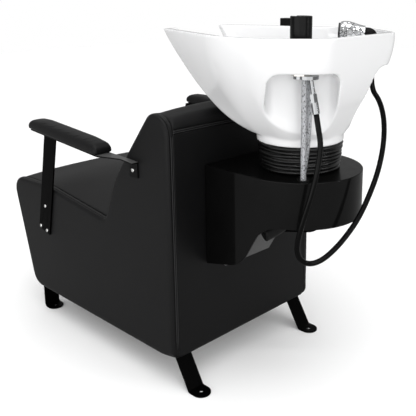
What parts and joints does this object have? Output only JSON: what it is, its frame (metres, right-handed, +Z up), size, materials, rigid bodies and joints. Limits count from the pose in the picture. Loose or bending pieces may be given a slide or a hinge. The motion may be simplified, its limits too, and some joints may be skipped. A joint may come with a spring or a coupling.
{
  "type": "backwash unit",
  "caption": "Salon backwash unit: upholstered chair with armrests and a tilting ceramic shampoo basin on a rear bracket, with mixer tap and hand spray.",
  "frame": {"origin": "middle of the footprint box on the floor", "axes": "+Z up, sitter faces -Y, sitter's left is +X"},
  "size_m": [0.685, 1.1973, 0.997],
  "materials": {
    "leatherette": "grained black upholstery leatherette",
    "plywood": "raw birch plywood",
    "lining": "black non-woven lining",
    "black_steel": "satin black powder coat on flat steel",
    "zinc_steel": "zinc plated steel",
    "bright_steel": "polished screw heads",
    "bracket_black": "smooth satin black paint on folded sheet steel",
    "rubber": "black moulded rubber",
    "nylon": "black nylon",
    "ceramic": "white glazed ceramic",
    "chrome": "polished chrome plate",
    "tap_black": "satin black coated brass",
    "brass": "bare brass",
    "braid": "stainless steel braid over rubber",
    "hose_black": "glossy black flexible hose"
  },
  "bodies": {
    "root": {"arm_bar_left": "black_steel", "arm_bar_right": "black_steel", "arm_pad_left": "leatherette", "arm_pad_right": "leatherette", "arm_screws": "bright_steel", "arm_strip_left": "black_steel", "arm_strip_right": "black_steel", "back_board": "plywood", "back_panel": "leatherette", "backrest_cushion": "leatherette", "base_rail_front": "plywood", "base_rail_rear": "plywood", "bellows": "rubber", "bracket_bolts": "zinc_steel", "bracket_skirt": "bracket_black", "bracket_top_plate": "bracket_black", "drain_hose": "rubber", "dust_cover": "lining", "foot_front_left": "black_steel", "foot_front_right": "black_steel", "foot_rear_left": "black_steel", "foot_rear_right": "black_steel", "foot_screws": "zinc_steel", "front_panel": "leatherette", "mount_plate": "bracket_black", "seat_board": "plywood", "seat_cushion": "leatherette", "side_panel_left": "leatherette", "side_panel_right": "leatherette", "supply_grommet": "rubber", "supply_hose_cold": "braid", "supply_hose_hot": "braid", "supply_union_cold": "chrome", "supply_union_hot": "chrome", "tilt_nuts": "zinc_steel", "tilt_pins": "zinc_steel", "tilt_washers": "nylon", "tilt_yoke": "zinc_steel"},
    "basin": {"basin": "ceramic", "drain_strainer": "chrome", "drain_gasket": "rubber", "drain_nut": "nylon", "tilt_plate": "zinc_steel", "tap_base": "tap_black", "tap_shank": "chrome", "tap_backnut": "brass", "outlet_tube": "chrome", "hose_nut": "chrome", "hose_ferrule": "chrome", "shower_hose": "hose_black", "spray_holder": "tap_black", "spray_backnut": "brass"},
    "tap_knob": {"tap_knob": "tap_black", "lever_pin": "chrome"},
    "tap_lever": {"tap_lever": "tap_black"},
    "hand_spray": {"spray_handle": "tap_black", "spray_head": "chrome", "spray_face": "nylon", "spray_tail": "chrome"}
  },
  "joints": [
    {"name": "basin_tilt", "type": "hinge", "parent": "root", "child": "basin", "pos_m": [0, 0.40307, 0.64], "axis": [1, 0, 0], "range_deg": [-14, 1], "deforming": ["bellows", "supply_hose_hot", "supply_hose_cold", "drain_hose", "shower_hose"]},
    {"name": "tap_turn", "type": "hinge", "parent": "basin", "child": "tap_knob", "pos_m": [0.12, 0.49807, 0.96], "axis": [0, 0, 1], "range_deg": [-45, 45]},
    {"name": "tap_lift", "type": "hinge", "parent": "tap_knob", "child": "tap_lever", "pos_m": [0.12, 0.49807, 0.9825], "axis": [-1, 0, 0], "range_deg": [0, 20]},
    {"name": "spray_lift", "type": "slide", "parent": "basin", "child": "hand_spray", "axis": [0, 0, 1], "range_m": [0, 0.035], "deforming": ["shower_hose"]}
  ]
}
